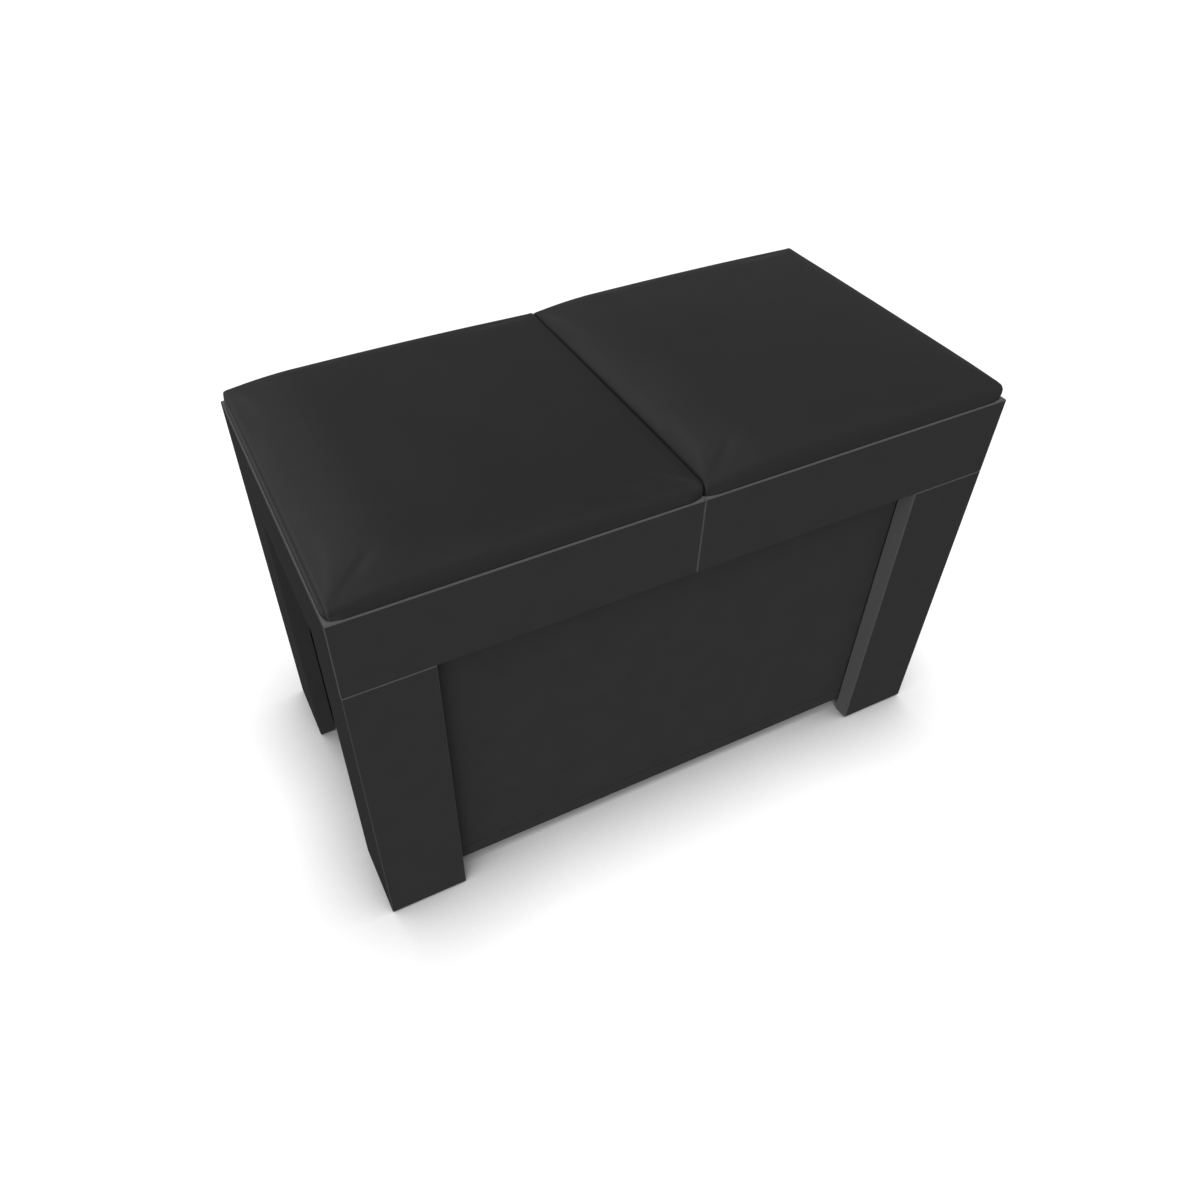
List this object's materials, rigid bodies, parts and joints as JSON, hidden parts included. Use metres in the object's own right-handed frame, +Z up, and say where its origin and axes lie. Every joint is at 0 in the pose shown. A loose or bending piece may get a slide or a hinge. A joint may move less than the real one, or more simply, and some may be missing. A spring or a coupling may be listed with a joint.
{
  "type": "extending bench",
  "caption": "Black upholstered bench whose two halves slide apart on telescopic rails over a fixed storage box that holds padded extension leaves.",
  "frame": {"origin": "on the floor under the middle of the closed bench", "axes": "+X along the bench to the right as seen from the front, -Y towards the front, +Z up"},
  "size_m": [0.66, 0.34, 0.45],
  "materials": {
    "black_board": "satin black melamine",
    "leatherette": "black leatherette",
    "plywood": "raw birch plywood",
    "beech": "raw beech",
    "anodised_aluminium": "satin anodised",
    "zinc_steel": "zinc plated",
    "nylon": "natural nylon",
    "black_plastic": "moulded",
    "felt": "felt"
  },
  "bodies": {
    "storage_box": {"box_bottom_board": "black_board", "box_front_panel": "black_board", "box_back_panel": "black_board", "box_left_panel": "black_board", "box_right_panel": "black_board", "box_feet": "black_plastic", "box_corner_battens": "beech", "bracket_screws": "zinc_steel", "rail_brackets": "zinc_steel", "front_rail": "anodised_aluminium", "back_rail": "anodised_aluminium", "rail_liners": "nylon", "leaf_battens": "beech", "leaf_racks": "beech", "leaf_1_base": "plywood", "leaf_1_cushion": "leatherette", "leaf_2_base": "plywood", "leaf_2_cushion": "leatherette", "leaf_3_base": "plywood", "leaf_3_cushion": "leatherette"},
    "left_half": {"left_front_apron": "black_board", "left_front_leg_face": "black_board", "left_front_leg_side": "black_board", "left_back_apron": "black_board", "left_back_leg_face": "black_board", "left_back_leg_side": "black_board", "left_end_apron": "black_board", "left_leg_tenons": "beech", "left_foot_felts": "felt", "left_alignment_tongue": "beech", "left_seat_cleats": "beech", "left_corner_blocks": "beech", "left_plate_screws": "zinc_steel", "left_seat_base": "plywood", "left_seat_cushion": "leatherette", "left_outer_slide_bar": "anodised_aluminium", "left_inner_slide_bar": "anodised_aluminium", "left_bar_glides": "nylon", "left_bar_plates": "zinc_steel"},
    "right_half": {"right_front_apron": "black_board", "right_front_leg_face": "black_board", "right_front_leg_side": "black_board", "right_back_apron": "black_board", "right_back_leg_face": "black_board", "right_back_leg_side": "black_board", "right_end_apron": "black_board", "right_leg_tenons": "beech", "right_foot_felts": "felt", "right_alignment_tongue": "beech", "right_seat_cleats": "beech", "right_corner_blocks": "beech", "right_plate_screws": "zinc_steel", "right_seat_base": "plywood", "right_seat_cushion": "leatherette", "right_outer_slide_bar": "anodised_aluminium", "right_inner_slide_bar": "anodised_aluminium", "right_bar_glides": "nylon", "right_bar_plates": "zinc_steel"}
  },
  "joints": [
    {"name": "left_slide", "type": "slide", "parent": "storage_box", "child": "left_half", "axis": [-1, 0, 0], "range_m": [0, 0.495]},
    {"name": "right_slide", "type": "slide", "parent": "storage_box", "child": "right_half", "axis": [1, 0, 0], "range_m": [0, 0.495]}
  ]
}
